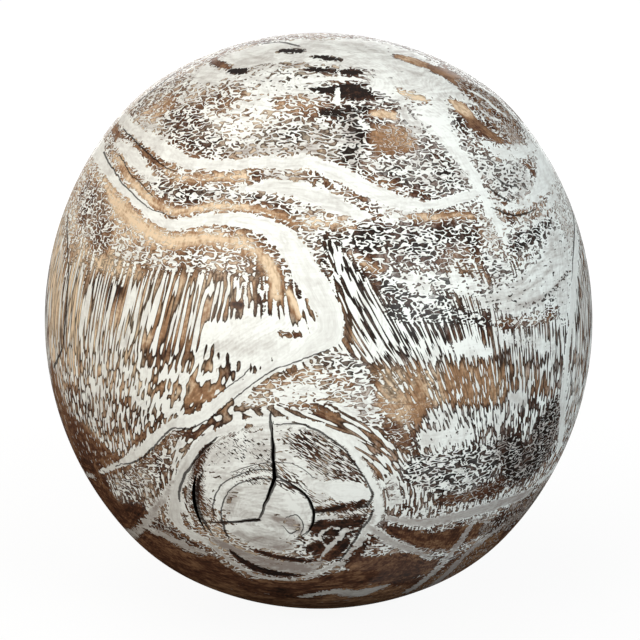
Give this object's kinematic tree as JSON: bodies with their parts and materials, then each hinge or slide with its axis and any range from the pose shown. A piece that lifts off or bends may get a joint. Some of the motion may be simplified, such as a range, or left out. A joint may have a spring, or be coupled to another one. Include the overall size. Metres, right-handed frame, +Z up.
{
  "type": "wooden ball",
  "caption": "Turned wooden ball, slightly taller than wide, with a limewashed and lacquered finish and a cracked knot low on its front.",
  "frame": {"origin": "centre of the ball's box, on the axis that it was turned about", "axes": "+Z up along the grain, which is the ball's longest direction; -Y towards the front, where the knot is; +X to the right seen from the front"},
  "size_m": [0.1, 0.1, 0.105],
  "materials": {
    "limewashed_wood": "brushed, stained brown, limewashed in the pores and lacquered to a soft gloss"
  },
  "bodies": {
    "root": {"ball": "limewashed_wood"}
  },
  "joints": []
}
